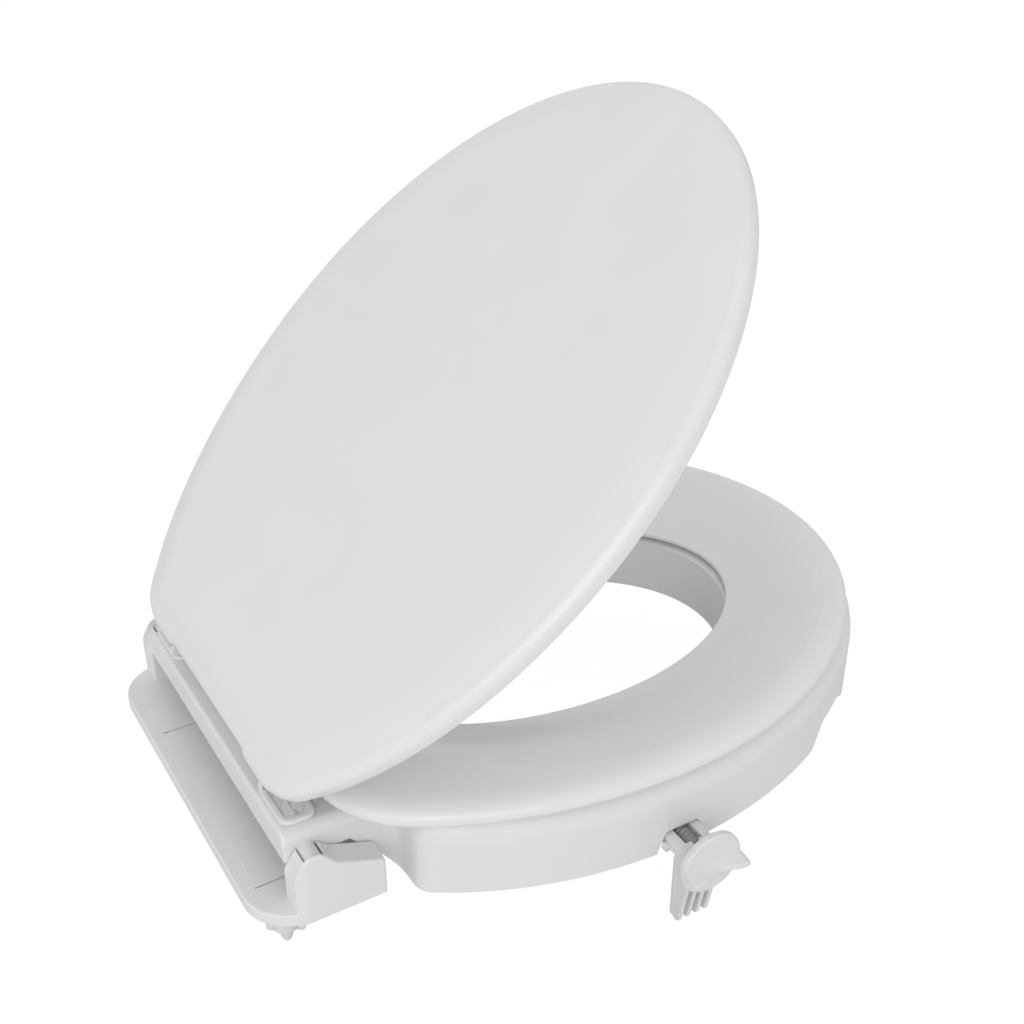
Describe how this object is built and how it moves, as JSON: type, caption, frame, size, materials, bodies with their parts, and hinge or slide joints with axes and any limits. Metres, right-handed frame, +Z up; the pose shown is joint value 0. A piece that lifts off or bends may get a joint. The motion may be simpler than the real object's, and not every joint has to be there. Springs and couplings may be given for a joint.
{
  "type": "raised toilet seat with lid",
  "caption": "Raised toilet seat: hollow riser ring tilting on a bolted rear plate, with a hinged dished seat, a hinged lid and a screw clamp at each side.",
  "frame": {"origin": "midway between the two fixing bolts, on the underside of the rear plate, which is the top of the toilet bowl", "axes": "+Z up, -Y to the front of the seat, +X to the sitter's left"},
  "size_m": [0.4326, 0.4635, 0.4316],
  "materials": {
    "white_plastic": "smooth gloss moulding",
    "seat_plastic": "polished moulding",
    "fixing_plastic": "satin moulding",
    "spindle_plastic": "satin threaded rod",
    "rubber": "soft pale rubber",
    "steel": "bright steel"
  },
  "bodies": {
    "base": {"mounting_plate": "white_plastic", "bolt_cover_right": "white_plastic", "bolt_cover_left": "white_plastic", "fixing_bolts": "fixing_plastic", "fixing_washers": "rubber", "wing_nuts": "fixing_plastic"},
    "riser": {"riser": "white_plastic", "hinge_base_right": "white_plastic", "hinge_base_left": "white_plastic", "hinge_pins": "steel", "hinge_screws": "fixing_plastic", "hinge_nuts": "fixing_plastic", "clamp_nut_right": "steel", "clamp_nut_left": "steel"},
    "seat": {"seat": "seat_plastic", "seat_buffers": "rubber"},
    "lid": {"lid": "seat_plastic", "lid_buffers": "rubber"},
    "clamp_right": {"clamp_jaw_right": "fixing_plastic"},
    "clamp_left": {"clamp_jaw_left": "fixing_plastic"},
    "knob_right": {"clamp_spindle_right": "spindle_plastic", "clamp_knob_right": "fixing_plastic"},
    "knob_left": {"clamp_spindle_left": "spindle_plastic", "clamp_knob_left": "fixing_plastic"}
  },
  "joints": [
    {"name": "riser_tilt", "type": "hinge", "parent": "base", "child": "riser", "pos_m": [0, -0.0044, 0.0365], "axis": [1, 0, 0], "range_deg": [-80, 0]},
    {"name": "seat_hinge", "type": "hinge", "parent": "riser", "child": "seat", "pos_m": [0, -0.0034, 0.071], "axis": [-1, 0, 0], "range_deg": [0, 95]},
    {"name": "lid_hinge", "type": "hinge", "parent": "seat", "child": "lid", "pos_m": [0, -0.0034, 0.071], "axis": [1, 0, 0], "range_deg": [-55.9, 44.1]},
    {"name": "clamp_slide_right", "type": "slide", "parent": "riser", "child": "clamp_right", "axis": [1, 0, 0], "range_m": [0, 0.01]},
    {"name": "knob_turn_right", "type": "hinge", "parent": "clamp_right", "child": "knob_right", "pos_m": [-0.2, -0.202, 0.009], "axis": [1, 0, 0], "range_deg": [0, 1200]},
    {"name": "clamp_slide_left", "type": "slide", "parent": "riser", "child": "clamp_left", "axis": [-1, 0, 0], "range_m": [0, 0.01]},
    {"name": "knob_turn_left", "type": "hinge", "parent": "clamp_left", "child": "knob_left", "pos_m": [0.2, -0.202, 0.009], "axis": [-1, 0, 0], "range_deg": [0, 1200]}
  ],
  "couplings": [
    {"joint": "knob_turn_right", "follows": "clamp_slide_right", "rad_per_m": 2094.4},
    {"joint": "knob_turn_left", "follows": "clamp_slide_left", "rad_per_m": 2094.4}
  ]
}
